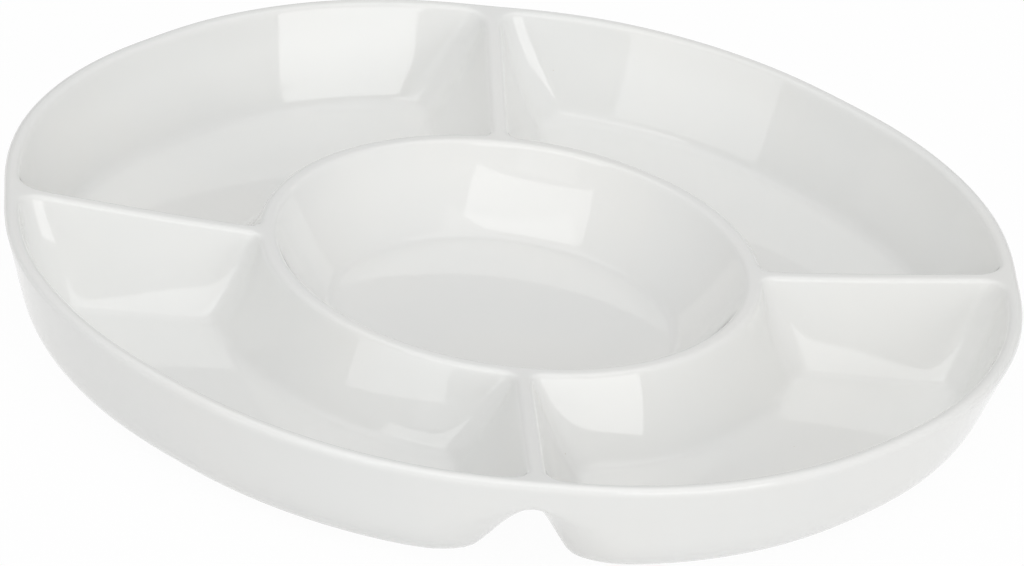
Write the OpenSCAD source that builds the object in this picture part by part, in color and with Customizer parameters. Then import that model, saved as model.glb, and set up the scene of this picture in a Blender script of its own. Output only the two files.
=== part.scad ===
// Divided serving bowl: a round dish in the middle of four outer dishes,
// fired as one piece with thin walls and a softly lobed rim.
// The origin is on the table under the middle, the dividers lie along X and Y.

/* [Overall] */
// Outer radius of the rim where the lobes are widest
rim_r = 130; // [115:1:150]
// Height of the rim above the table
dish_h = 31; // [28:0.5:36]
// Thickness of the walls and floors
wall_t = 4.5; // [3.5:0.1:5]
// Height of the floors above the table
floor_z = 5.5; // [5.2:0.1:7]

/* [Rim] */
// Radius of the rounding on the outer edge of the rim
edge_round = 1.4; // [0.8:0.1:1.8]
// Radius of the rounding on the inner edge of the rim and on the ridges
crest_round = 1.9; // [1.2:0.1:2.2]
// Width of the flat between the two roundings of the rim
rim_flat = 0.8; // [0.4:0.1:2]
// Draft of the outer wall in degrees
wall_draft = 20; // [12:1:24]
// How far the rim is drawn in at each divider
divider_pinch = 1.8; // [0:0.1:3]
// How far the rim is drawn in at the middle of each outer dish
middle_pinch = 1; // [0:0.1:2]
// How far the inside of the outer wall is hollowed between its roundings
wall_hollow = 0.3; // [0:0.1:0.8]

/* [Dividers] */
// Width of the spine in the middle of each divider and of the ring
spine_w = 1.4; // [1.2:0.1:2.4]
// Width of the flat that the outer dishes' walls add along each side of a spine
ridge_land = 0.2; // [0.2:0.1:0.6]
// Height of the solid spine under each divider and under the ring
spine_h = 8; // [6:0.25:9]
// Half the width of a divider where its flanks meet the floors
divider_foot = 17; // [15.5:0.5:19]
// Draft of the flanks in degrees
flank_draft = 30; // [25:1:35]
// How far the flanks are hollowed between their roundings
flank_hollow = 0.8; // [0:0.1:1]
// Radius in plan of the outer corners of an outer dish at the top
top_corner = 7; // [5:0.5:10]
// Radius in plan of its corners beside the ring at the top
ring_corner = 5; // [4:0.5:7]
// Radius in plan of all the corners of an outer dish at the floor
floor_corner = 6; // [5:0.5:9]
// Radius in plan of the same corners on the underside
under_corner = 9; // [7:0.5:12]

/* [Ring] */
// Radius of the inner face of the ring's spine
ring_r = 60.7; // [56:0.1:65]
// Height of the ring above the table
ring_z = 25.3; // [23.5:0.1:27]
// Radius where the outer dishes' floors begin, outside the ring
ring_foot_r = 77; // [75:0.5:80]
// Draft of the ring's outer side in degrees
ring_draft = 28; // [22:1:32]
// How far the ring's outer side is hollowed between its roundings
ring_hollow = 0.7; // [0:0.1:0.9]

/* [Middle dish] */
// Draft of the middle dish's wall in degrees
centre_draft = 38; // [32:1:42]
// How far its wall is hollowed between its roundings
centre_hollow = 1.2; // [0:0.1:1.6]
// Radius between its floor and its wall
centre_fillet = 4; // [3:0.5:8]

/* [Fillets] */
// Radius between an outer dish's floor and its outer wall
wall_fillet = 5; // [4:0.5:9]
// Radius between an outer dish's floor and its flanks
flank_fillet = 4; // [3:0.5:7]
// Radius between an outer dish's floor and the ring
ring_fillet = 5; // [4:0.5:8]

// Radius between an outer dish's flat base and the outside of its outer wall
base_fillet = 14.5; // [11:0.5:15]

/* [Feet] */
// Height of the foot rings
foot_h = 1; // [0.6:0.1:1.2]
// Width of the foot rings
foot_w = 3; // [2:0.25:4]
// How far the foot rings stand in from the edge of the flat base
foot_inset = 1.5; // [1:0.25:3]

/* [Hidden] */

glaze = [0.93, 0.93, 0.92];
bare_clay = [0.88, 0.86, 0.82];

// Segments of half an outer dish's outline: along the ring, as along the rim, round a corner
// and along a flank; then those of the roundings and of the middle dish's wall
side_steps = 12;
corner_steps = 5;
flank_steps = 5;
fillet_steps = 4;
round_steps = 2;
lip_steps = 3;
centre_steps = 6;
wall_steps = 4;

// A sharp corner of the body is this round, so that no two points meet
sharp_corner = wall_t / 10;
// How soft the pinches are, and half the angle that each one spans
pinch_softness_share = 0.12;
pinch_span = 22.5;
// Inside this angle from a divider the pinch runs along the divider
divider_zone = 5;
// How fast the ridges climb towards the rim: 1 is a straight climb
ridge_curve = 1.25;
// How much the corners of an outer dish widen on the way up its floor fillets
corner_growth_share = 0.3;
// Widest corner of an outer dish's floor, as a share of the floor's width
widest_corner_share = 0.45;
// Part of the way down from the spines to the floor fillets where the body has its waist,
// and the share of the widening of its corners that is done there
waist_share = 0.35;
waist_corner_share = 0.8;

quadrant = 90;
diagonal = quadrant / 2;
base_z = floor_z - wall_t;
spine_half = spine_w / 2;
foot_edge = foot_inset + foot_w;
ring_out = ring_r + spine_w;
flat_out = rim_r - edge_round;
flat_in = flat_out - rim_flat;
// Where the floor of an outer dish ends under its outer wall
wall_turn = quadrant - wall_draft;
mouth_in = flat_in - crest_round * sin(wall_turn);
wall_drop = dish_h - floor_z - crest_round * (1 - cos(wall_turn));
wall_foot = mouth_in - wall_drop * tan(wall_draft);
floor_out = wall_foot - wall_fillet * tan(wall_turn / 2);
// Where its flat base ends
base_out = wall_foot - (base_fillet - wall_t) * tan(wall_turn / 2);
// The same for the middle dish, under the ring
centre_turn = quadrant - centre_draft;
centre_mouth = ring_r - crest_round * sin(centre_turn);
centre_drop = ring_z - floor_z - crest_round * (1 - cos(centre_turn));
centre_floor = centre_mouth - centre_drop * tan(centre_draft) - centre_fillet * tan(centre_turn / 2);
ring_turn = quadrant - ring_draft;
flank_turn = quadrant - flank_draft;

centre_parts = [for (i = [0:centre_steps]) i / centre_steps];
fillet_parts = [for (i = [0:fillet_steps]) i / fillet_steps];
round_parts = [for (i = [round_steps:-1:0]) i / round_steps];
lip_turns = [for (i = [0:lip_steps]) (quadrant + wall_draft) * i / lip_steps];

function clamp01(t) = min(1, max(0, t));
function smooth(t) = t * t * (3 - 2 * t);
function mixed(a, b, share) = a + (b - a) * share;
function half_way(a, b) = (a + b) / 2;

// Height of the ridges at a distance r from the centre
function ridge_z(r) =
    ring_z + (dish_h - ring_z) * pow(clamp01((r - ring_out) / (flat_in - ring_out)), ridge_curve);

// Share of a pinch that is left at an angle from its middle
function pinch_share(a) =
    let (s = pinch_softness_share, t = a / pinch_span)
    pow(max(0, 1 - sqrt(t * t + s * s)) / (1 - s), 2);

// Draws a point of the first quadrant in by the pinches: along the divider beside it,
// and turning towards the other divider in between
function pinched(p) =
    let (a = atan2(p[1], p[0]),
        divider_part = divider_pinch * (pinch_share(a) + pinch_share(quadrant - a)),
        middle_part = middle_pinch * pinch_share(a - diagonal),
        reach = clamp01((norm(p) - ring_out) / (rim_r - ring_out)),
        way = quadrant * smooth(clamp01((a - divider_zone) / (quadrant - 2 * divider_zone))))
    p - reach * (divider_part + middle_part) * [cos(way), sin(way)];

// Half the outline of an outer dish, from the middle of its ring side to the middle of its rim
// ro, ri: radii of its rim side and ring side; g: gap to the divider's axis; co, ci: corner radii
function half_outline(ro, ri, g, co, ci) =
    let (ring_a = asin((g + ci) / (ri + ci)), rim_a = asin((g + co) / (ro - co)),
        ring_x = (ri + ci) * cos(ring_a), rim_x = (ro - co) * cos(rim_a))
    concat(
        [for (i = [0:side_steps - 1])
            let (a = diagonal + (ring_a - diagonal) * i / side_steps)
            ri * [cos(a), sin(a)]],
        [for (i = [0:corner_steps])
            let (a = 2 * quadrant + ring_a + (quadrant - ring_a) * i / corner_steps)
            [ring_x + ci * cos(a), g + ci + ci * sin(a)]],
        [for (i = [1:flank_steps - 1])
            [ring_x + (rim_x - ring_x) * i / flank_steps, g]],
        [for (i = [0:corner_steps])
            let (a = -quadrant + (quadrant + rim_a) * i / corner_steps)
            [rim_x + co * cos(a), g + co + co * sin(a)]],
        [for (i = [1:side_steps])
            let (a = rim_a + (diagonal - rim_a) * i / side_steps)
            ro * [cos(a), sin(a)]]);

// The whole outline, which is its own mirror image across the diagonal, drawn in by the pinches
function outline(ro, ri, g, co, ci) =
    let (half = half_outline(ro, ri, g, co, ci))
    [for (p = concat(half, [for (i = [len(half) - 2:-1:1]) [half[i][1], half[i][0]]])) pinched(p)];

// A value for each point of an outline, from its values on the ring, the flanks and the rim
function half_spread(ring, flank, rim) =
    concat(
        [for (i = [0:side_steps - 1]) ring],
        [for (i = [0:corner_steps]) ring + (flank - ring) * smooth(i / corner_steps)],
        [for (i = [1:flank_steps - 1]) flank],
        [for (i = [0:corner_steps]) flank + (rim - flank) * smooth(i / corner_steps)],
        [for (i = [1:side_steps]) rim]);
function spread(ring, flank, rim) =
    let (half = half_spread(ring, flank, rim))
    concat(half, [for (i = [len(half) - 2:-1:1]) half[i]]);

function lifted(flat, heights) = [for (i = [0:len(flat) - 1]) [flat[i][0], flat[i][1], heights[i]]];
function tops(flat) = [for (p = flat) ridge_z(norm(p))];

// Outline of a floor or base whose outer edge is at ro, grown by its own amount on each side,
// with corners that its width can hold
function floor_plan(ro, ring_d, flank_d, rim_d, corner) =
    let (width = ro + rim_d - (ring_foot_r - ring_d),
        c = min(corner + corner_growth_share * flank_d, widest_corner_share * width))
    outline(ro + rim_d, ring_foot_r - ring_d, divider_foot - flank_d, c, c);

// A loop part of the way up the fillets of a floor or base with its outer edge at ro:
// wall_f is the fillet's radius there, the others are t larger than on the inside
function fillet_loop(part, ro, wall_f, t, z, corner) =
    let (ring_a = ring_turn * part, flank_a = flank_turn * part, wall_a = wall_turn * part,
        ring_f = ring_fillet + t, flank_f = flank_fillet + t)
    lifted(
        floor_plan(ro, ring_f * sin(ring_a), flank_f * sin(flank_a), wall_f * sin(wall_a), corner),
        spread(
            z + ring_f * (1 - cos(ring_a)),
            z + flank_f * (1 - cos(flank_a)),
            z + wall_f * (1 - cos(wall_a))));
function floor_loop(part) = fillet_loop(part, floor_out, wall_fillet, 0, floor_z, floor_corner);
function base_loop(part) = fillet_loop(part, base_out, base_fillet, wall_t, base_z, under_corner);

// A loop over the rounding of the ridges and the inner edge of the rim
function round_loop(part) =
    let (ring_a = ring_turn * part, flank_a = flank_turn * part, wall_a = wall_turn * part,
        e = crest_round,
        drops = spread(e * (1 - cos(ring_a)), e * (1 - cos(flank_a)), e * (1 - cos(wall_a))))
    lifted(
        outline(flat_in - e * sin(wall_a), seat_r + ridge_land + e * sin(ring_a),
            spine_half + ridge_land + e * sin(flank_a),
            top_corner - e * sin(flank_a), ring_corner - e * sin(flank_a)),
        mouth_top - drops);

// The loop half way up the walls, which are hollowed there
function hollow_loop() =
    let (low = floor_loop(1), high = round_loop(1),
        flank_d = flank_fillet * sin(flank_turn), flank_e = crest_round * sin(flank_turn),
        low_c = floor_corner + corner_growth_share * flank_d,
        plan = outline(
            half_way(floor_out + wall_fillet * sin(wall_turn), mouth_in) + wall_hollow * cos(wall_draft),
            half_way(ring_foot_r - ring_fillet * sin(ring_turn),
                seat_r + ridge_land + crest_round * sin(ring_turn)) - ring_hollow * cos(ring_draft),
            half_way(divider_foot - flank_d, spine_half + ridge_land + flank_e)
                - flank_hollow * cos(flank_draft),
            half_way(low_c, top_corner - flank_e), half_way(low_c, ring_corner - flank_e)),
        sinks = spread(
            ring_hollow * sin(ring_draft), flank_hollow * sin(flank_draft), wall_hollow * sin(wall_draft)))
    lifted(plan, [for (i = [0:len(low) - 1]) half_way(low[i][2], high[i][2]) - sinks[i]]);

// Outline of the body where it meets the spines and the ring, with the rim at radius ro
function body_plan(ro) = outline(ro, seat_r, spine_half, sharp_corner, sharp_corner);
// The ring side's chords touch the ring's round face and don't cut it
seat_r = ring_out / cos(diagonal / side_steps / 2);

mouth_top = tops(outline(flat_in, seat_r + ridge_land, spine_half + ridge_land, top_corner, ring_corner));
body_top = tops(body_plan(flat_out));
spine_r = rim_r - (spine_h - edge_round) * tan(wall_draft);
all_alike = spread(1, 1, 1);

// A loop over the outer edge of the rim, some way below the ridges and the rim
function body_loop(ro, drop) = lifted(body_plan(ro), body_top - drop * all_alike);

// The loop at the body's waist, between the spines and the top of its floor fillets
function waist_loop() =
    let (ring_f = ring_fillet + wall_t, flank_d = (flank_fillet + wall_t) * sin(flank_turn),
        corner = mixed(sharp_corner, under_corner + corner_growth_share * flank_d, waist_corner_share),
        plan = outline(
            mixed(spine_r, base_out + base_fillet * sin(wall_turn), waist_share),
            mixed(seat_r, ring_foot_r - ring_f * sin(ring_turn), waist_share),
            mixed(spine_half, divider_foot - flank_d, waist_share), corner, corner),
        above = [for (p = body_loop(spine_r, spine_h)) p[2]],
        below = [for (p = base_loop(1)) p[2]])
    lifted(plan, mixed(above, below, waist_share));

inner_loops = concat(
    [for (part = fillet_parts) floor_loop(part)],
    [hollow_loop()],
    [for (part = round_parts) round_loop(part)]);
outer_loops = concat(
    [for (a = lip_turns) body_loop(flat_out + edge_round * sin(a), edge_round * (1 - cos(a)))],
    [body_loop(spine_r, spine_h), waist_loop()],
    [for (i = [fillet_steps:-1:0]) base_loop(fillet_parts[i])]);

// Convex faces that close half an outline of n points: the ring side's points face the rim side's
function half_cap(n) =
    let (half = n / 2, reach = side_steps + corner_steps)
    concat(
        [for (i = [0:reach - 2]) [i, i + 1, half - i - 1, half - i]],
        [[for (i = [reach - 1:half - reach + 1]) i]]);
function reversed(face) = [for (i = [len(face) - 1:-1:0]) face[i]];
function cap(n) =
    let (half = half_cap(n))
    concat(half, [for (face = half) [for (i = reversed(face)) (n - i) % n]]);

// A closed skin over a stack of outlines that all have the same number of points
module skin(loops) {
    n = len(loops[0]);
    last = len(loops) - 1;
    sides = [for (j = [0:last - 1], i = [0:n - 1])
        let (k = (i + 1) % n, a = j * n, b = a + n)
        each [[a + i, b + k, b + i], [a + i, a + k, b + k]]];
    floor_cap = [for (face = cap(n)) reversed(face)];
    base_cap = [for (face = cap(n)) [for (i = face) last * n + i]];
    polyhedron([for (loop = loops) each loop], concat(floor_cap, base_cap, sides));
}

// One outer dish of the first quadrant, as a thin shell: floor, walls and its part of the rim
module outer_dish() {
    skin(concat(inner_loops, outer_loops));
}

// Spine between two outer dishes, along +X from the ring to the rim
function spine_point(r, z) = [pinched([r, 0])[0], z];
spine_top = [for (i = [0:flank_steps * 2])
    let (r = ring_out + (flat_out - ring_out) * i / (flank_steps * 2))
    spine_point(r, ridge_z(r))];
spine_lip = [for (a = lip_turns)
    spine_point(flat_out + edge_round * sin(a), dish_h - edge_round * (1 - cos(a)))];
spine_roof = [for (i = [flank_steps * 2:-1:0])
    let (r = ring_out + (spine_r - ring_out) * i / (flank_steps * 2))
    spine_point(r, ridge_z(r) - spine_h)];

module divider_spine() {
    rotate([quadrant, 0, 0])
        linear_extrude(spine_w, center = true)
            polygon(concat(spine_top, [for (i = [1:len(spine_lip) - 1]) spine_lip[i]], spine_roof));
}

// Foot ring under an outer dish, along the edge of its flat base
module outer_foot() {
    linear_extrude(foot_h)
        difference() {
            polygon(floor_plan(base_out, -foot_inset, -foot_inset, -foot_inset, under_corner));
            polygon(floor_plan(base_out, -foot_edge, -foot_edge, -foot_edge, under_corner));
        }
}

// Half section of the middle dish: over the floor, up its hollow wall to the ring and back under it
under_fillet = centre_fillet + wall_t;
centre_low = [for (part = centre_parts)
    let (a = centre_turn * part)
    [centre_floor + centre_fillet * sin(a), floor_z + centre_fillet * (1 - cos(a))]];
centre_top = [for (part = round_parts)
    let (a = centre_turn * part)
    [ring_r - crest_round * sin(a), ring_z - crest_round * (1 - cos(a))]];
centre_wall = [for (i = [1:wall_steps - 1])
    let (share = i / wall_steps)
    mixed(centre_low[centre_steps], centre_top[0], share)
        + centre_hollow * 4 * share * (1 - share) * [cos(centre_draft), -sin(centre_draft)]];
centre_under = [for (i = [centre_steps:-1:0])
    let (a = centre_turn * centre_parts[i])
    [min(ring_r, centre_floor + under_fillet * sin(a)), base_z + under_fillet * (1 - cos(a))]];

module centre_dish() {
    color(glaze)
        rotate_extrude($fn = 120)
            polygon(concat(
                [[0, base_z], [0, floor_z]], centre_low, centre_wall, centre_top,
                [[ring_r, ring_z - spine_h]], centre_under));
}

module ring_ridge() {
    color(glaze)
        translate([0, 0, ring_z - spine_h])
            rotate_extrude($fn = 120)
                translate([ring_r, 0])
                    square([spine_w, spine_h]);
}

module outer_dish_back_right() {
    color(glaze) outer_dish();
}

module outer_dish_back_left() {
    color(glaze) rotate(quadrant) outer_dish();
}

module outer_dish_front_left() {
    color(glaze) rotate(2 * quadrant) outer_dish();
}

module outer_dish_front_right() {
    color(glaze) rotate(-quadrant) outer_dish();
}

module divider_ridge_right() {
    color(glaze) divider_spine();
}

module divider_ridge_back() {
    color(glaze) rotate(quadrant) divider_spine();
}

module divider_ridge_left() {
    color(glaze) rotate(2 * quadrant) divider_spine();
}

module divider_ridge_front() {
    color(glaze) rotate(-quadrant) divider_spine();
}

module centre_foot() {
    color(bare_clay)
        rotate_extrude($fn = 120)
            translate([centre_floor - foot_inset - foot_w, 0])
                square([foot_w, foot_h]);
}

module foot_back_right() {
    color(bare_clay) outer_foot();
}

module foot_back_left() {
    color(bare_clay) rotate(quadrant) outer_foot();
}

module foot_front_left() {
    color(bare_clay) rotate(2 * quadrant) outer_foot();
}

module foot_front_right() {
    color(bare_clay) rotate(-quadrant) outer_foot();
}

centre_dish();
ring_ridge();
outer_dish_back_right();
outer_dish_back_left();
outer_dish_front_left();
outer_dish_front_right();
divider_ridge_right();
divider_ridge_back();
divider_ridge_left();
divider_ridge_front();
centre_foot();
foot_back_right();
foot_back_left();
foot_front_left();
foot_front_right();
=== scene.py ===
import math

import bmesh
import bpy
from mathutils import Matrix, Vector


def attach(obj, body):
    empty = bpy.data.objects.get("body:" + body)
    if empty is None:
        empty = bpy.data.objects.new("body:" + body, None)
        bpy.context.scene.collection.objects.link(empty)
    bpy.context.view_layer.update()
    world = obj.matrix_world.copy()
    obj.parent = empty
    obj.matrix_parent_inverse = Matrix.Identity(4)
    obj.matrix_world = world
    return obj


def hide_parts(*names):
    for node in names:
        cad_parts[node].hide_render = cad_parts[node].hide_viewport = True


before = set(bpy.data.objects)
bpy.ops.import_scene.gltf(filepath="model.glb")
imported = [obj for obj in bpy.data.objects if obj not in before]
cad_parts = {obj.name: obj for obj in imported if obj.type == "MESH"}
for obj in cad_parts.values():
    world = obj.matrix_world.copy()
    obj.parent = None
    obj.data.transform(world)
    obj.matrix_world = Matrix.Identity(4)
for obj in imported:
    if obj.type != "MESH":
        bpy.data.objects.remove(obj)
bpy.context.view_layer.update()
scene = bpy.context.scene
print("frame loaded:", len(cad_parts), "nodes")

# The glazed bowl, in metres and degrees, much as the CAD nodes have it
bowl = {
    "rimRadius": 0.130,
    "height": 0.031,
    "wall": 0.0045,
    "floorHeight": 0.0055,
    "edgeRound": 0.0014,          # rounding of the rim's outer edge
    "rimFlat": 0.0008,
    "crestRound": 0.0019,         # rounding of the ridges and of the rim's inner edge
    "crestHalf": 0.0006,          # half the width of the flat on top of a divider
    "dividerPinch": 0.0018,       # how far the rim is drawn in at a divider, and midway between two
    "middlePinch": 0.0010,
    "pinchSoftness": 0.12,
    "pinchSpan": 22.5,            # half the angle that it is drawn in over
    "dividerZone": 5.0,           # inside this angle from a divider it is drawn in along the divider
    "spineHeight": 0.008,         # solid height under the ridges
    "dividerFoot": 0.017,         # half the width of a divider at the floor
    "ringInner": 0.0608,          # the flat on top of the ring
    "ringOuter": 0.0621,
    "ringHeight": 0.0253,
    "ringFoot": 0.077,
    "ridgeCurve": 1.25,           # how late the dividers climb to the rim
    "wallDraft": 20.0,            # lean of the rim's inner side, the flanks, the ring and the middle dish
    "flankDraft": 30.0,
    "ringDraft": 28.0,
    "centreDraft": 38.0,
    "wallSwing": 3.5,             # degrees by which each leans more at its foot, and less at its top
    "flankSwing": 8.0,
    "ringSwing": 8.5,
    "centreSwing": 8.0,
    "topCorner": 0.007,           # an outer dish's corners from above: at the rim, beside the ring,
    "ringCorner": 0.005,          # at the floor, and on the underside
    "floorCorner": 0.006,
    "underCorner": 0.009,
    "cornerGrowth": 0.3,          # how much the last two widen on the way up
    "wallFillet": 0.005,
    "flankFillet": 0.004,
    "ringFillet": 0.005,
    "centreFillet": 0.004,
    "baseRadius": 0.1102,         # where an outer dish's flat base ends
    "baseFillet": 0.0145,         # outside the wall, round the flat base
    "dividerArch": 0.0022,        # rounding under a divider, and under the ring
    "ringArch": 0.0008,
    "archTurns": (60, 30),        # degrees round the divider's arch, at each of its rows
    "archCorner": 1.6,            # its corners, as a multiple of its half width
    "ringArchTurns": (30, 65),    # degrees round the ring's arch, on the middle dish's side
    "ringArchFoot": (0.0004, 0.0022),    # the row past it: in from the ring's flat, and down
    "spineCorner": 0.0015,        # corner where the underside meets the outer wall
    "waist": 0.35,                # a row at this share of the way from the arches to the base,
    "waistCorner": 0.8,           # the share of the corners' widening that is done there,
    "waistArch": 0.5,             # and the share of the arch's height where its wall line starts
    "lipRows": ((0.0062, 0.003), (0.0044, 0.005), (0.0029, 0.0065)),    # depth under the rim, corner
}

# How fine its mesh is: segments along an outer dish's outline and over its roundings
detail = {
    "sideSteps": 32,              # along the ring, and as many along the rim
    "flankSteps": 14,
    "cornerSteps": 4,
    "filletSteps": 4,
    "wallSteps": 4,
    "roundSteps": 4,
    "lipSteps": 3,
    "centreSteps": 7,
    "subdivision": 1,
    "mergeDistance": 0.00002,
    "findDistance": 0.0001,       # how near to a circle an edge counts as on it
}

halfSide = detail["sideSteps"] // 2
halfCorner = detail["cornerSteps"] // 2
arcSteps = halfSide - halfCorner
flatSteps = detail["flankSteps"] - detail["cornerSteps"]
ringTurnPoint = halfSide                          # where half an outline turns from the ring into a flank
rimTurnPoint = halfSide + detail["flankSteps"]    # and from the flank into the rim
halfCount = rimTurnPoint + halfSide
outlineCount = 2 * halfCount

flatOut = bowl["rimRadius"] - bowl["edgeRound"]
flatIn = flatOut - bowl["rimFlat"]
rimMiddle = (flatIn + flatOut) / 2
ringMiddle = (bowl["ringInner"] + bowl["ringOuter"]) / 2
baseHeight = bowl["floorHeight"] - bowl["wall"]


def turns(wall):
    # how far a wall's profile has turned from level at its foot and at its top
    draft, swing = bowl[wall + "Draft"], bowl[wall + "Swing"]
    return math.radians(90 - draft - swing), math.radians(90 - draft + swing)


ringTurn, ringTopTurn = turns("ring")
flankTurn, flankTopTurn = turns("flank")
wallTurn, wallTopTurn = turns("wall")
centreTurn, centreTopTurn = turns("centre")


def floorEdge(mouthRadius, mouthHeight, wall):
    # where a floor ends under a wall that leans outwards and starts in a fillet
    low, high = turns(wall)
    fillet = bowl[wall + "Fillet"]
    wallTop = mouthHeight - bowl["crestRound"] * (1 - math.cos(high))
    wallFoot = bowl["floorHeight"] + fillet * (1 - math.cos(low))
    lean = (wallTop - wallFoot) * math.tan(math.radians(bowl[wall + "Draft"]))
    return mouthRadius - bowl["crestRound"] * math.sin(high) - lean - fillet * math.sin(low)


floorOut = floorEdge(flatIn, bowl["height"], "wall")
centreFloor = floorEdge(bowl["ringInner"], bowl["ringHeight"], "centre")


def outerLean():
    # how far the outer wall leans where it runs straight from the base's rounding to the rim's
    across = flatOut - bowl["baseRadius"]
    rise = bowl["height"] - bowl["edgeRound"] - baseHeight - bowl["baseFillet"]
    narrowing = bowl["baseFillet"] - bowl["edgeRound"]
    return math.acos(narrowing / math.hypot(across, rise)) - math.atan2(rise, across)


outerDraft = outerLean()
outerTurn = math.pi / 2 - outerDraft
print("the outer wall leans", round(math.degrees(outerDraft), 2), "degrees")


def clamp(value):
    return min(1.0, max(0.0, value))


def smooth(value):
    return value * value * (3 - 2 * value)


def mixed(a, b, share):
    return a + (b - a) * share


def parts(steps):
    # evenly spaced shares from 0 to 1
    return [i / steps for i in range(steps + 1)]


def ridgeHeight(radius):
    climb = clamp((radius - bowl["ringOuter"]) / (flatIn - bowl["ringOuter"])) ** bowl["ridgeCurve"]
    return mixed(bowl["ringHeight"], bowl["height"], climb)


def wallRadius(drop):
    # the outer wall's radius some way below the rim
    start = bowl["edgeRound"] * (1 + math.sin(outerDraft))
    return flatOut + bowl["edgeRound"] * math.cos(outerDraft) - (drop - start) * math.tan(outerDraft)


def pinchShare(angle):
    softness = bowl["pinchSoftness"]
    reach = 1 - math.hypot(angle / bowl["pinchSpan"], softness)
    return (max(0.0, reach) / (1 - softness)) ** 2


def pinched(x, y):
    # draws a point of the first quadrant in where the lobed rim is drawn in
    angle = math.degrees(math.atan2(y, x))
    amount = bowl["dividerPinch"] * (pinchShare(angle) + pinchShare(90 - angle))
    amount += bowl["middlePinch"] * pinchShare(angle - 45)
    amount *= clamp((math.hypot(x, y) - bowl["ringOuter"]) / (bowl["rimRadius"] - bowl["ringOuter"]))
    way = math.radians(90 * smooth(clamp((angle - bowl["dividerZone"]) / (90 - 2 * bowl["dividerZone"]))))
    return x - amount * math.cos(way), y - amount * math.sin(way)


def mirroredHalf(half):
    return half + [(y, x) for x, y in half[-2:0:-1]]


def outline(rimRadius, ringRadius, gap, rimCorner, ringCorner):
    # an outer dish of the first quadrant from above, starting at the middle of its ring side
    ringAngle = math.asin((gap + ringCorner) / (ringRadius + ringCorner))
    rimAngle = math.asin((gap + rimCorner) / (rimRadius - rimCorner))
    ringX = (ringRadius + ringCorner) * math.cos(ringAngle)
    rimX = (rimRadius - rimCorner) * math.cos(rimAngle)
    half = []
    for i in range(arcSteps):
        angle = mixed(math.pi / 4, ringAngle, i / arcSteps)
        half.append((ringRadius * math.cos(angle), ringRadius * math.sin(angle)))
    for part in parts(detail["cornerSteps"]):
        angle = math.pi + mixed(ringAngle, math.pi / 2, part)
        half.append((ringX + ringCorner * math.cos(angle), gap + ringCorner * (1 + math.sin(angle))))
    for i in range(1, flatSteps):
        half.append((mixed(ringX, rimX, i / flatSteps), gap))
    for part in parts(detail["cornerSteps"]):
        angle = mixed(-math.pi / 2, rimAngle, part)
        half.append((rimX + rimCorner * math.cos(angle), gap + rimCorner * (1 + math.sin(angle))))
    for i in range(1, arcSteps + 1):
        angle = mixed(rimAngle, math.pi / 4, i / arcSteps)
        half.append((rimRadius * math.cos(angle), rimRadius * math.sin(angle)))
    return [pinched(x, y) for x, y in mirroredHalf(half)]


def middleOutline(rimRadius, rimCorner):
    # the outline pushed out to the middles of the ring, the dividers and the rim,
    # with its points spaced to suit the corners of the rows beside it
    rimX = pinched(rimRadius, 0)[0]
    ringAngle = math.asin(bowl["ringCorner"] / (ringMiddle + bowl["ringCorner"]))
    rimAngle = math.asin(rimCorner / (rimRadius - rimCorner))
    ringReach = (ringMiddle + bowl["ringCorner"]) * math.cos(ringAngle)
    rimReach = (rimX - rimCorner) * math.cos(rimAngle)
    half = []
    for angle in ([mixed(math.pi / 4, ringAngle, i / arcSteps) for i in range(arcSteps)]
                  + [mixed(ringAngle, 0, i / halfCorner) for i in range(halfCorner)]):
        half.append((ringMiddle * math.cos(angle), ringMiddle * math.sin(angle)))
    for x in ([mixed(ringMiddle, ringReach, i / halfCorner) for i in range(halfCorner)]
              + [mixed(ringReach, rimReach, i / flatSteps) for i in range(flatSteps)]
              + [mixed(rimReach, rimX, i / halfCorner) for i in range(halfCorner)]):
        half.append((x, 0.0))
    for angle in ([mixed(0, rimAngle, i / halfCorner) for i in range(halfCorner)]
                  + [mixed(rimAngle, math.pi / 4, part) for part in parts(arcSteps)]):
        half.append(pinched(rimRadius * math.cos(angle), rimRadius * math.sin(angle)))
    return mirroredHalf(half)


# The line along the middles of the ring, the dividers and the rim, and its heights
topLine = middleOutline(rimMiddle, bowl["topCorner"])
topHeights = [ridgeHeight(math.hypot(x, y)) for x, y in topLine]


def spread(ring, flank, rim):
    # a value for every point of an outline, from its values on the ring, the flanks and the rim
    half = []
    for i in range(halfCount + 1):
        pastRing = smooth(clamp((i - ringTurnPoint + halfCorner) / detail["cornerSteps"]))
        intoRim = smooth(clamp((i - rimTurnPoint + halfCorner) / detail["cornerSteps"]))
        half.append(mixed(mixed(ring, flank, pastRing), rim, intoRim))
    return half + half[-2:0:-1]


def lifted(flat, heights):
    return [Vector((x, y, z)) for (x, y), z in zip(flat, heights)]


def filletLoop(part, edge, wallFillet, turn, thickness, height, corner):
    # part of the way up the roundings round a floor or base whose outer edge is given
    ringFillet = bowl["ringFillet"] + thickness
    flankFillet = bowl["flankFillet"] + thickness
    flankGrowth = flankFillet * math.sin(flankTurn * part)
    corner = corner + bowl["cornerGrowth"] * flankGrowth
    plan = outline(
        edge + wallFillet * math.sin(turn * part),
        bowl["ringFoot"] - ringFillet * math.sin(ringTurn * part),
        bowl["dividerFoot"] - flankGrowth, corner, corner)
    return lifted(plan, spread(
        height + ringFillet * (1 - math.cos(ringTurn * part)),
        height + flankFillet * (1 - math.cos(flankTurn * part)),
        height + wallFillet * (1 - math.cos(turn * part))))


def floorLoop(part):
    return filletLoop(
        part, floorOut, bowl["wallFillet"], wallTurn, 0, bowl["floorHeight"], bowl["floorCorner"])


def baseLoop(part):
    return filletLoop(
        part, bowl["baseRadius"], bowl["baseFillet"], outerTurn, bowl["wall"], baseHeight,
        bowl["underCorner"])


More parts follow.
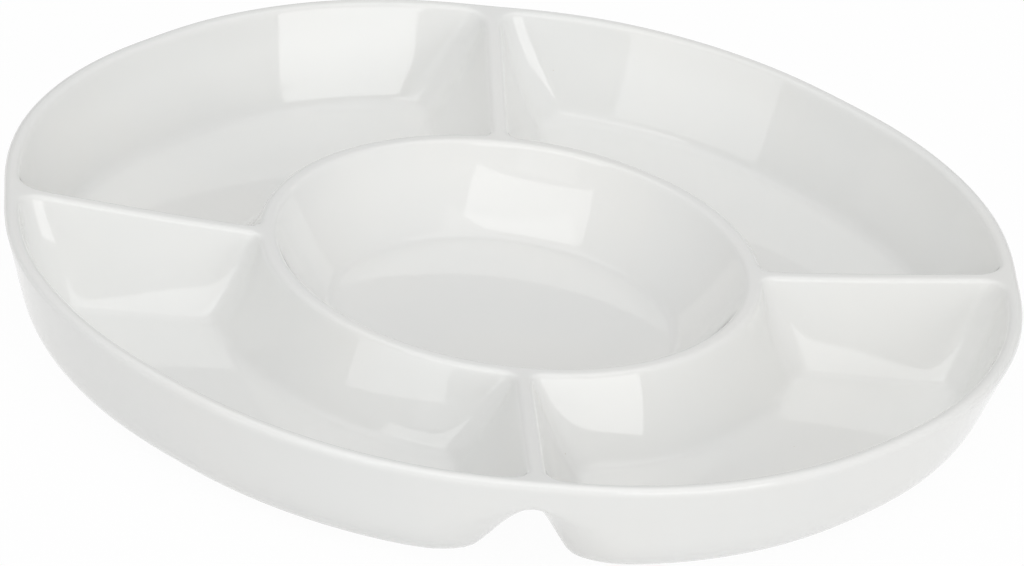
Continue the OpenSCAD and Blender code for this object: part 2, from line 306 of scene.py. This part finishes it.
def crestLoop(part):
    # over the rounding of the ridges and of the rim's inner edge
    topTurns = (ringTopTurn, flankTopTurn, wallTopTurn)
    ringSink, flankSink, wallSink = [bowl["crestRound"] * math.sin(turn * part) for turn in topTurns]
    drops = spread(*[bowl["crestRound"] * (1 - math.cos(turn * part)) for turn in topTurns])
    plan = outline(
        flatIn - wallSink, bowl["ringOuter"] + ringSink, bowl["crestHalf"] + flankSink,
        bowl["topCorner"] - flankSink, bowl["ringCorner"] - flankSink)
    mouth = outline(flatIn, bowl["ringOuter"], bowl["crestHalf"], bowl["topCorner"], bowl["ringCorner"])
    return lifted(plan, [ridgeHeight(math.hypot(x, y)) - drop for (x, y), drop in zip(mouth, drops)])


def underRidges(plan, drops):
    # a loop that hangs some way below the ring, the dividers and the rim
    heights = [mixed(ridgeHeight(math.hypot(x, y)), top, share) - drop
               for (x, y), top, share, drop in zip(plan, topHeights, spread(0, 0, 1), drops)]
    return lifted(plan, heights)


def archLoop(turn):
    # over the roundings under the dividers and under the ring
    sine, rise = math.sin(math.radians(turn)), 1 - math.cos(math.radians(turn))
    gap = bowl["dividerArch"] * sine
    corner = bowl["archCorner"] * gap
    drops = spread(*[bowl["spineHeight"] + arch * rise
                     for arch in (bowl["ringArch"], bowl["dividerArch"], bowl["dividerArch"])])
    plan = outline(
        wallRadius(bowl["spineHeight"] + bowl["dividerArch"] * rise),
        ringMiddle + bowl["ringArch"] * sine, gap, corner, corner)
    return underRidges(plan, drops)


def waistLoop(top, bottom, share):
    # between the arches and the roundings of the base
    archWall = wallRadius(bowl["spineHeight"] + bowl["waistArch"] * bowl["dividerArch"])
    baseWall = bowl["baseRadius"] + bowl["baseFillet"] * math.sin(outerTurn)
    ringReach = (bowl["ringFillet"] + bowl["wall"]) * math.sin(ringTurn)
    flankReach = (bowl["flankFillet"] + bowl["wall"]) * math.sin(flankTurn)
    corner = mixed(
        bowl["archCorner"] * bowl["dividerArch"],
        bowl["underCorner"] + bowl["cornerGrowth"] * flankReach, bowl["waistCorner"])
    plan = outline(
        mixed(archWall, baseWall, share), mixed(bowl["ringOuter"], bowl["ringFoot"] - ringReach, share),
        mixed(bowl["crestHalf"], bowl["dividerFoot"] - flankReach, share), corner, corner)
    return lifted(plan, [mixed(a.z, b.z, share) for a, b in zip(top, bottom)])


def between(low, high, share):
    return [a.lerp(b, share) for a, b in zip(low, high)]


def bowed(low, high, share, swings):
    # the same, pushed outwards where the wall between the two is hollow
    row = between(low, high, share)
    amounts = spread(*[math.tan(math.radians(swing)) for swing in swings])
    for i, point in enumerate(between(low, high, share)):
        along = row[(i + 1) % outlineCount] - row[i - 1]
        outwards = Vector((along.x, along.y, 0)).cross(high[i] - low[i]).normalized()
        point += outwards * (high[i] - low[i]).length * amounts[i] * share * (1 - share)
        yield point


def insideLoops():
    # an outer dish's inside, from the edge of its floor up to the middle of the ridges
    fillet = [floorLoop(part) for part in parts(detail["filletSteps"])]
    crest = [crestLoop(1 - part) for part in parts(detail["roundSteps"])]
    swings = (bowl["ringSwing"], bowl["flankSwing"], bowl["wallSwing"])
    wall = [list(bowed(fillet[-1], crest[0], part, swings)) for part in parts(detail["wallSteps"])[1:-1]]
    return fillet + wall + crest + [lifted(topLine, topHeights)]


def undersideLoops():
    # its underside, from the edge of the base up to the arches under the dividers and the ring
    fillet = [baseLoop(part) for part in parts(detail["filletSteps"])]
    arches = [archLoop(turn) for turn in bowl["archTurns"]]
    waist = waistLoop(arches[0], fillet[-1], bowl["waist"])
    spine = bowl["spineHeight"]
    top = underRidges(middleOutline(wallRadius(spine), bowl["spineCorner"]), [spine] * outlineCount)
    return fillet + [between(fillet[-1], waist, 0.5), waist] + arches + [top]


def outsideLoops():
    # its outer wall, from the arches up over the lip to the middle of the rim
    rows = [(wallRadius(drop), corner, drop) for drop, corner in bowl["lipRows"]]
    for part in parts(detail["lipSteps"]):
        turn = (math.pi / 2 + outerDraft) * (1 - part)
        rows.append((flatOut + bowl["edgeRound"] * math.sin(turn), bowl["topCorner"],
                     bowl["edgeRound"] * (1 - math.cos(turn))))
    rows.append((rimMiddle, bowl["topCorner"], 0))
    return [lifted(middleOutline(radius, corner), [top - drop for top in topHeights])
            for radius, corner, drop in rows]


def vertsIn(items):
    return [item for item in items if isinstance(item, bmesh.types.BMVert)]


def extruded(bm, edges):
    # a new row of edges beside the given ones, and its points
    made = bmesh.ops.extrude_edge_only(bm, edges=edges)["geom"]
    return [item for item in made if isinstance(item, bmesh.types.BMEdge)], vertsIn(made)


def startLoop(bm, order, points):
    # a closed loop of edges whose points are numbered
    verts = bmesh.ops.create_circle(bm, segments=len(points), radius=1.0)["verts"]
    for i, vert in enumerate(verts):
        vert[order] = i
        vert.co = points[i]
    return list({edge for vert in verts for edge in vert.link_edges})


def grow(bm, order, edges, points):
    # extrudes edges into a new row whose points go where the numbered list says
    edges, verts = extruded(bm, edges)
    for vert in verts:
        vert.co = points[vert[order]]
    return edges


def onRing(edge, order):
    return all(min(vert[order], outlineCount - vert[order]) <= ringTurnPoint for vert in edge.verts)


def onRim(edge, order):
    return all(min(vert[order], outlineCount - vert[order]) >= rimTurnPoint for vert in edge.verts)


def growShell(bm, order, loops):
    # fills the first outline with a grid between its ring side and its rim side, then grows the other rows
    edges = startLoop(bm, order, loops[0])
    sides = [edge for edge in edges if onRing(edge, order) or onRim(edge, order)]
    bmesh.ops.grid_fill(bm, edges=sides, mat_nr=0, use_smooth=True)
    for points in loops[1:]:
        edges = grow(bm, order, edges, points)
    return edges


def addOuterDish(bm):
    # one outer dish of the first quadrant: its inside, its underside and its share of the rim
    order = bm.verts.layers.int.new("order")
    growShell(bm, order, insideLoops())
    edges = growShell(bm, order, undersideLoops())
    edges = [edge for edge in edges if onRim(edge, order)]
    for points in outsideLoops():
        edges = grow(bm, order, edges, points)


def circleEdges(bm, radius, height):
    # the open edges that lie on a level circle
    near = detail["findDistance"]
    return [edge for edge in bm.edges if edge.is_boundary and all(
        abs(math.hypot(vert.co.x, vert.co.y) - radius) < near and abs(vert.co.z - height) < near
        for vert in edge.verts)]


def growInwards(bm, edges, profile):
    # extrudes a circle of edges along a profile of radii and heights, and closes what is left with a grid
    for radius, height in profile:
        edges, verts = extruded(bm, edges)
        for vert in verts:
            scale = radius / math.hypot(vert.co.x, vert.co.y)
            vert.co = Vector((vert.co.x * scale, vert.co.y * scale, height))
    reach = radius * math.cos(math.radians(45)) - detail["mergeDistance"]
    facing = [edge for edge in edges if all(abs(vert.co.y) > reach for vert in edge.verts)]
    bmesh.ops.grid_fill(bm, edges=facing, mat_nr=0, use_smooth=True)


def roundingRows(radius, height, size, turn, steps):
    # up a rounding that starts level: radii and heights, from its far end back
    return [(radius + size * math.sin(turn * part), height + size * (1 - math.cos(turn * part)))
            for part in reversed(parts(steps))]


def addCentreDish(bm):
    # the ring's inner side and the middle dish, and the same on the underside
    steps = detail["centreSteps"]
    crest = [(bowl["ringInner"] - bowl["crestRound"] * math.sin(centreTopTurn * part),
              bowl["ringHeight"] - bowl["crestRound"] * (1 - math.cos(centreTopTurn * part)))
             for part in parts(detail["roundSteps"])]
    fillet = roundingRows(centreFloor, bowl["floorHeight"], bowl["centreFillet"], centreTurn, steps)
    draft = math.radians(bowl["centreDraft"])
    fullBow = math.dist(crest[-1], fillet[0]) * math.tan(math.radians(bowl["centreSwing"]))
    wall = []
    for share in parts(detail["wallSteps"] + 1)[1:-1]:
        bow = fullBow * share * (1 - share)
        wall.append((mixed(crest[-1][0], fillet[0][0], share) + bow * math.cos(draft),
                     mixed(crest[-1][1], fillet[0][1], share) - bow * math.sin(draft)))
    growInwards(bm, circleEdges(bm, ringMiddle, bowl["ringHeight"]), crest + wall + fillet)

    archTop = bowl["ringHeight"] - bowl["spineHeight"]
    footIn, footDown = bowl["ringArchFoot"]
    arch = [(ringMiddle - bowl["ringArch"] * math.sin(math.radians(turn)),
             archTop - bowl["ringArch"] * (1 - math.cos(math.radians(turn))))
            for turn in bowl["ringArchTurns"]]
    arch.append((bowl["ringInner"] - footIn, archTop - footDown))
    under = roundingRows(centreFloor, baseHeight, bowl["centreFillet"] + bowl["wall"], centreTurn, steps)
    growInwards(bm, circleEdges(bm, ringMiddle, archTop), arch + under)


def meshObject(name, bm, material):
    mesh = bpy.data.meshes.new(name)
    bm.to_mesh(mesh)
    bm.free()
    mesh.shade_smooth()
    mesh.materials.append(material)
    obj = bpy.data.objects.new(name, mesh)
    scene.collection.objects.link(obj)
    return obj


def finerObject(name, bm, material):
    obj = meshObject(name, bm, material)
    finer = obj.modifiers.new("finer", "SUBSURF")
    finer.levels = finer.render_levels = detail["subdivision"]
    return obj


def makeGlazedBowl(material):
    bm = bmesh.new()
    addOuterDish(bm)
    quarter = list(bm.verts) + list(bm.edges) + list(bm.faces)
    for turn in (90, 180, 270):
        copy = bmesh.ops.duplicate(bm, geom=quarter)["geom"]
        bmesh.ops.rotate(bm, verts=vertsIn(copy), cent=(0, 0, 0),
                         matrix=Matrix.Rotation(math.radians(turn), 3, "Z"))
    bmesh.ops.remove_doubles(bm, verts=list(bm.verts), dist=detail["mergeDistance"])
    addCentreDish(bm)
    bmesh.ops.recalc_face_normals(bm, faces=list(bm.faces))
    print("glazed skin:", len(bm.faces), "faces")
    return finerObject("glazedBowl", bm, material)


# The unglazed foot rings, in metres
foot = {
    "height": 0.001,
    "sunk": 0.0006,               # how far they reach into the base
    "width": 0.003,
    "inset": 0.0015,              # in from the edge of the base
    "softness": 0.0003,           # how far the edges that touch the table are rounded
    "softSteps": 2,
    "sharpTurn": 1.0,             # radians past which an edge is rounded
    "centreSegments": 96,
}


def finishFoot(name, bm, material):
    # raises the flat ring to its height and softens the edges that touch the table
    made = bmesh.ops.extrude_face_region(bm, geom=list(bm.faces))["geom"]
    bmesh.ops.translate(bm, verts=vertsIn(made), vec=(0, 0, foot["height"] + foot["sunk"]))
    bmesh.ops.recalc_face_normals(bm, faces=list(bm.faces))
    edges = [edge for edge in bm.edges if edge.calc_face_angle(0) > foot["sharpTurn"]
             and all(vert.co.z < foot["height"] / 2 for vert in edge.verts)]
    bmesh.ops.bevel(bm, geom=edges, offset=foot["softness"], offset_type="OFFSET", affect="EDGES",
                    segments=foot["softSteps"], profile=0.5, material=-1)
    return finerObject(name, bm, material)


def makeOuterFoot(name, turn, material):
    bm = bmesh.new()
    order = bm.verts.layers.int.new("order")
    rows = []
    for inset in (foot["inset"], foot["inset"] + foot["width"]):
        corner = bowl["underCorner"] - bowl["cornerGrowth"] * inset
        plan = outline(
            bowl["baseRadius"] - inset, bowl["ringFoot"] + inset, bowl["dividerFoot"] + inset,
            corner, corner)
        rows.append(lifted(plan, [0] * outlineCount))
    grow(bm, order, startLoop(bm, order, rows[0]), rows[1])
    bmesh.ops.rotate(bm, verts=list(bm.verts), cent=(0, 0, 0),
                     matrix=Matrix.Rotation(math.radians(turn), 3, "Z"))
    return finishFoot(name, bm, material)


def makeCentreFoot(material):
    bm = bmesh.new()
    outer = centreFloor - foot["inset"]
    bmesh.ops.create_circle(bm, segments=foot["centreSegments"], radius=outer)
    inner = extruded(bm, list(bm.edges))[1]
    bmesh.ops.scale(bm, verts=inner, vec=Vector((1, 1, 1)) * (outer - foot["width"]) / outer)
    return finishFoot("centreFootRing", bm, material)


# The glaze: its tones, gloss, specks, and how uneven its surface lies (lengths in metres, scales per metre)
glazeLook = {
    "tones": [(0.0, (0.852, 0.857, 0.844)), (0.5, (0.860, 0.863, 0.848)), (1.0, (0.866, 0.866, 0.847))],
    "toneScale": 17.0,
    "paintedHighlightColour": (0.876, 0.874, 0.856, 1),       # a painted highlight: a lighter colour over sharp edges and crests
    "paintedHighlightFrom": 0.535,
    "paintedHighlightTo": 0.62,
    "speckColour": (0.62, 0.56, 0.46, 1),
    "speckScale": 170.0,
    "speckSize": 0.055,
    "speckRarity": 0.985,
    "smooth": 0.030,                               # roughness, and where it is duller
    "dull": 0.060,
    "dullScale": 38.0,
    "ior": 1.52,
    "waveScale": 13.0,
    "waveDetail": 1.0,
    "waveDepth": 0.00035,
    "peelScale": 210.0,
    "peelDetail": 2.0,
    "peelDepth": 0.000009,
    "pitScale": 420.0,
    "pitSize": 0.12,
    "pitRarity": 0.93,
    "pitDepth": 0.00002,
}

# The bare fired clay of the foot rings
clayLook = {
    "tones": [(0.0, (0.55, 0.50, 0.42)), (0.5, (0.66, 0.61, 0.53)), (1.0, (0.74, 0.70, 0.62))],
    "toneScale": 60.0,
    "grainScale": 900.0,
    "grainShare": 0.45,
    "grainDepth": 0.00005,
    "speckColour": (0.30, 0.25, 0.20, 1),
    "speckScale": 420.0,
    "speckSize": 0.16,
    "speckRarity": 0.90,
    "smooth": 0.70,
    "dull": 0.92,
    "dullScale": 240.0,
}

# The mottle in both: how fine it is, and the part of the noise that is drawn out to its full range
mottleLook = {"detail": 3.0, "roughness": 0.55, "from": 0.33, "to": 0.67}


def newGroup(name, inputs, outputs):
    # a node group with float, vector or colour sockets, and its two end nodes
    group = bpy.data.node_groups.new(name, "ShaderNodeTree")
    for direction, sockets in (("INPUT", inputs), ("OUTPUT", outputs)):
        for label, kind in sockets.items():
            group.interface.new_socket(name=label, in_out=direction, socket_type="NodeSocket" + kind)
    return group, group.nodes.new("NodeGroupInput"), group.nodes.new("NodeGroupOutput")


def addNode(tree, kind, settings=None, values=None):
    node = tree.nodes.new("ShaderNode" + kind)
    for name, value in (settings or {}).items():
        setattr(node, name, value)
    for socket, value in (values or {}).items():
        node.inputs[socket].default_value = value
    return node


def makeMottle(look):
    # soft clouds between a low and a high value
    group, start, end = newGroup(
        "softMottle", {"Place": "Vector", "Scale": "Float", "Low": "Float", "High": "Float"},
        {"Value": "Float"})
    noise = addNode(group, "TexNoise", values={"Detail": look["detail"], "Roughness": look["roughness"]})
    spreadOut = addNode(
        group, "MapRange", {"interpolation_type": "SMOOTHSTEP"},
        {"From Min": look["from"], "From Max": look["to"]})
    group.links.new(start.outputs["Place"], noise.inputs["Vector"])
    group.links.new(start.outputs["Scale"], noise.inputs["Scale"])
    group.links.new(noise.outputs[0], spreadOut.inputs["Value"])
    group.links.new(start.outputs["Low"], spreadOut.inputs["To Min"])
    group.links.new(start.outputs["High"], spreadOut.inputs["To Max"])
    group.links.new(spreadOut.outputs["Result"], end.inputs["Value"])
    return group


def makeDots():
    # rare round dots: a mask that is 1 in the middle of each
    group, start, end = newGroup(
        "rareDots", {"Place": "Vector", "Scale": "Float", "Size": "Float", "Rarity": "Float"},
        {"Mask": "Float"})
    cells = addNode(group, "TexVoronoi", {"feature": "F1"})
    picked = addNode(group, "Math", {"operation": "GREATER_THAN"})
    colours = addNode(group, "SeparateColor")
    fade = addNode(
        group, "MapRange", {"interpolation_type": "SMOOTHSTEP"},
        {"From Min": 0.0, "To Min": 1.0, "To Max": 0.0})
    mask = addNode(group, "Math", {"operation": "MULTIPLY"})
    group.links.new(start.outputs["Place"], cells.inputs["Vector"])
    group.links.new(start.outputs["Scale"], cells.inputs["Scale"])
    group.links.new(cells.outputs["Distance"], fade.inputs["Value"])
    group.links.new(start.outputs["Size"], fade.inputs["From Max"])
    group.links.new(cells.outputs["Color"], colours.inputs[0])
    group.links.new(colours.outputs[0], picked.inputs[0])
    group.links.new(start.outputs["Rarity"], picked.inputs[1])
    group.links.new(fade.outputs["Result"], mask.inputs[0])
    group.links.new(picked.outputs[0], mask.inputs[1])
    group.links.new(mask.outputs[0], end.inputs["Mask"])
    return group


mottle = makeMottle(mottleLook)
dots = makeDots()


def addGroup(tree, group, place, values):
    node = addNode(tree, "Group", {"node_tree": group}, values)
    tree.links.new(place, node.inputs["Place"])
    return node


def addMottle(tree, place, scale, low=0.0, high=1.0):
    return addGroup(tree, mottle, place, {"Scale": scale, "Low": low, "High": high}).outputs["Value"]


def addDots(tree, place, look, kind):
    values = {label: look[kind + label] for label in ("Scale", "Size", "Rarity")}
    return addGroup(tree, dots, place, values).outputs["Mask"]


def startMaterial(name):
    # a material with its own shader, and the object's coordinates
    material = bpy.data.materials.new(name)
    material.use_nodes = True
    tree = material.node_tree
    return material, tree, tree.nodes["Principled BSDF"], addNode(tree, "TexCoord").outputs["Object"]


def toneRamp(tree, tones, value):
    ramp = addNode(tree, "ValToRGB")
    stops = ramp.color_ramp.elements
    for i, (at, colour) in enumerate(tones):
        stop = stops[i] if i < 2 else stops.new(at)
        stop.position, stop.color = at, (*colour, 1)
    tree.links.new(value, ramp.inputs["Fac"])
    return ramp.outputs["Color"]


def used(sockets, name):
    # the socket of that name that a node's present settings use
    return next(socket for socket in sockets if socket.name == name and socket.enabled)


def blended(tree, share, below, colour):
    # a plain colour laid over another where the share is 1
    mix = addNode(tree, "Mix", {"data_type": "RGBA"})
    used(mix.inputs, "B").default_value = colour
    tree.links.new(share, used(mix.inputs, "Factor"))
    tree.links.new(below, used(mix.inputs, "A"))
    return used(mix.outputs, "Result")


def raised(tree, height, depth, below=None):
    # a bump of some depth on top of another one
    bump = addNode(tree, "Bump", values={"Strength": 1.0, "Distance": depth})
    tree.links.new(height, bump.inputs["Height"])
    if below:
        tree.links.new(below, bump.inputs["Normal"])
    return bump.outputs["Normal"]


def makeGlaze(look):
    material, tree, shader, place = startMaterial("glossyWhiteGlaze")
    tone = addMottle(tree, place, look["toneScale"])
    specks = addDots(tree, place, look, "speck")
    pits = addDots(tree, place, look, "pit")
    gloss = addMottle(tree, place, look["dullScale"], look["smooth"], look["dull"])
    # a painted highlight: a lighter colour where the surface curves sharply, over the rim's edges and the
    # crests of the ridges
    edge = addNode(tree, "NewGeometry")
    paintedHighlight = addNode(tree, "MapRange", {"interpolation_type": "SMOOTHSTEP"},
                   {"From Min": look["paintedHighlightFrom"], "From Max": look["paintedHighlightTo"]})
    tree.links.new(edge.outputs["Pointiness"], paintedHighlight.inputs["Value"])
    colour = toneRamp(tree, look["tones"], tone)
    colour = blended(tree, paintedHighlight.outputs["Result"], colour, look["paintedHighlightColour"])
    colour = blended(tree, specks, colour, look["speckColour"])
    waves = addNode(tree, "TexNoise", values={"Scale": look["waveScale"], "Detail": look["waveDetail"]})
    peel = addNode(tree, "TexNoise", values={"Scale": look["peelScale"], "Detail": look["peelDetail"]})
    for texture in (waves, peel):
        tree.links.new(place, texture.inputs["Vector"])
    normal = raised(tree, waves.outputs[0], look["waveDepth"])
    normal = raised(tree, peel.outputs[0], look["peelDepth"], normal)
    normal = raised(tree, pits, -look["pitDepth"], normal)
    tree.links.new(colour, shader.inputs["Base Color"])
    tree.links.new(gloss, shader.inputs["Roughness"])
    tree.links.new(normal, shader.inputs["Normal"])
    shader.inputs["IOR"].default_value = look["ior"]
    return material


def makeClay(look):
    material, tree, shader, place = startMaterial("bareFiredClay")
    cloud = addMottle(tree, place, look["toneScale"])
    grain = addMottle(tree, place, look["grainScale"])
    specks = addDots(tree, place, look, "speck")
    dull = addMottle(tree, place, look["dullScale"], look["smooth"], look["dull"])
    tone = addNode(tree, "Mix", {"data_type": "FLOAT"}, {"Factor": look["grainShare"]})
    tree.links.new(cloud, tone.inputs["A"])
    tree.links.new(grain, tone.inputs["B"])
    colour = toneRamp(tree, look["tones"], tone.outputs["Result"])
    colour = blended(tree, specks, colour, look["speckColour"])
    tree.links.new(colour, shader.inputs["Base Color"])
    tree.links.new(dull, shader.inputs["Roughness"])
    tree.links.new(raised(tree, grain, look["grainDepth"]), shader.inputs["Normal"])
    return material


glaze = makeGlaze(glazeLook)
clay = makeClay(clayLook)
print("materials made")

glazedNodes = [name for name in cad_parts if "foot" not in name]
glazedBowl = makeGlazedBowl(glaze)
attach(glazedBowl, "root")
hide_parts(*glazedNodes)

feet = {"foot_back_right": 0, "foot_back_left": 90, "foot_front_left": 180, "foot_front_right": 270}
for node, turn in feet.items():
    words = node.split("_")
    ring = makeOuterFoot(words[1] + words[2].title() + "FootRing", turn, clay)
    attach(ring, "root")
    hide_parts(node)
centreRing = makeCentreFoot(clay)
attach(centreRing, "root")
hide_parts("centre_foot")
print("bowl made")

# The studio: a pale floor, a pale room, and where the soft boxes stand
studio = {
    "floorSize": 12.0,
    "floorColour": (0.88, 0.88, 0.88, 1),
    "whiteShare": 0.97,           # how much of the floor a camera sees as plain white
    "roomColour": (1.0, 1.0, 1.0, 1),
    "roomStrength": 0.445,
    "boxDistance": 3.0,
    "boxAim": 0.02,               # height above the table that the soft boxes face
}

# Each soft box: direction from the bowl (degrees to the right of straight back, and up),
# the degrees that it spans sideways and up, and its brightness
softBoxes = {
    "keyBox": {"around": 142.5, "up": 17.5, "wide": 39.0, "high": 27.0, "radiance": 2.24},
    "rightBox": {"around": 102.0, "up": 22.0, "wide": 32.0, "high": 34.0, "radiance": 0.10},
    "backBox": {"around": 194.0, "up": 55.0, "wide": 52.0, "high": 21.0, "radiance": 1.50},
    "cameraBox": {"around": 200.0, "up": 32.0, "wide": 26.0, "high": 20.0, "radiance": 0.42},
    "lowBox": {"around": 226.0, "up": 16.0, "wide": 42.0, "high": 22.0, "radiance": 1.08},
    "leftBox": {"around": 270.0, "up": 60.0, "wide": 22.0, "high": 28.0, "radiance": 0.10},
    "topBox": {"around": 180.0, "up": 89.0, "wide": 60.0, "high": 60.0, "radiance": 0.65},
}

# The photograph's camera, in degrees and metres, with its lens and sensor in millimetres
shot = {
    "azimuth": -6.37,
    "elevation": 27.44,
    "roll": 8.04,
    "distance": 2.121,            # from the middle of the rim
    "aimRight": -0.00065,         # how far from there it aims
    "aimUp": -0.01294,
    "lens": 297.5,
    "sensor": 36,
    "farthest": 50,               # how far the camera sees
}


def makeFloor():
    bm = bmesh.new()
    bmesh.ops.create_grid(bm, x_segments=1, y_segments=1, size=studio["floorSize"] / 2)
    material = bpy.data.materials.new("studioFloor")
    material.use_nodes = True
    tree = material.node_tree
    tree.nodes.clear()
    surface = addNode(tree, "OutputMaterial")
    diffuse = addNode(tree, "BsdfDiffuse", values={"Color": studio["floorColour"]})
    white = addNode(tree, "Emission", values={"Strength": 1.0})
    path = addNode(tree, "LightPath")
    seen = addNode(tree, "Math", {"operation": "MAXIMUM"})
    share = addNode(tree, "Math", {"operation": "MULTIPLY"}, {1: studio["whiteShare"]})
    blend = addNode(tree, "MixShader")
    tree.links.new(path.outputs["Is Camera Ray"], seen.inputs[0])
    tree.links.new(path.outputs["Is Glossy Ray"], seen.inputs[1])
    tree.links.new(seen.outputs[0], share.inputs[0])
    tree.links.new(share.outputs[0], blend.inputs["Fac"])
    tree.links.new(diffuse.outputs[0], blend.inputs[1])
    tree.links.new(white.outputs[0], blend.inputs[2])
    tree.links.new(blend.outputs[0], surface.inputs["Surface"])
    floor = meshObject("studioFloor", bm, material)


def makeWorld():
    world = bpy.data.worlds.new("studioRoom")
    scene.world = world
    world.use_nodes = True
    tree = world.node_tree
    room = tree.nodes["Background"]
    room.inputs["Color"].default_value = studio["roomColour"]
    room.inputs["Strength"].default_value = studio["roomStrength"]
    white = addNode(tree, "Background")
    path = addNode(tree, "LightPath")
    blend = addNode(tree, "MixShader")
    tree.links.new(path.outputs["Is Camera Ray"], blend.inputs["Fac"])
    tree.links.new(room.outputs[0], blend.inputs[1])
    tree.links.new(white.outputs[0], blend.inputs[2])
    tree.links.new(blend.outputs[0], tree.nodes["World Output"].inputs["Surface"])


def pointAt(obj, place, target, roll=0.0):
    look = (target - place).normalized()
    turn = look.to_track_quat("-Z", "Y")
    obj.matrix_world = Matrix.Translation(place) @ turn.to_matrix().to_4x4() @ Matrix.Rotation(roll, 4, "Z")


def directionOf(around, up):
    around, up = math.radians(around), math.radians(up)
    return Vector((math.sin(around) * math.cos(up), math.cos(around) * math.cos(up), math.sin(up)))


def makeSoftBox(name, box):
    distance = studio["boxDistance"]
    light = bpy.data.lights.new(name, "AREA")
    light.shape = "RECTANGLE"
    light.size = 2 * distance * math.tan(math.radians(box["wide"] / 2))
    light.size_y = 2 * distance * math.tan(math.radians(box["high"] / 2))
    light.energy = box["radiance"] * math.pi * light.size * light.size_y
    obj = bpy.data.objects.new(name, light)
    scene.collection.objects.link(obj)
    aim = Vector((0, 0, studio["boxAim"]))
    pointAt(obj, aim + directionOf(box["around"], box["up"]) * distance, aim)


def makeCamera():
    rimCentre = Vector((0, 0, bowl["height"]))
    place = rimCentre + directionOf(180 - shot["azimuth"], shot["elevation"]) * shot["distance"]
    lens = bpy.data.cameras.new("photoCamera")
    lens.lens = shot["lens"]
    lens.sensor_width = shot["sensor"]
    lens.clip_end = shot["farthest"]
    obj = bpy.data.objects.new("photoCamera", lens)
    scene.collection.objects.link(obj)
    roll = math.radians(shot["roll"])
    pointAt(obj, place, rimCentre, roll)
    right, up = obj.matrix_world.to_3x3().col[0], obj.matrix_world.to_3x3().col[1]
    pointAt(obj, place, rimCentre + right * shot["aimRight"] + up * shot["aimUp"], roll)
    scene.camera = obj


makeFloor()
makeWorld()
for boxName, box in softBoxes.items():
    makeSoftBox(boxName, box)
makeCamera()
scene.view_settings.view_transform = "Standard"
print("studio made")
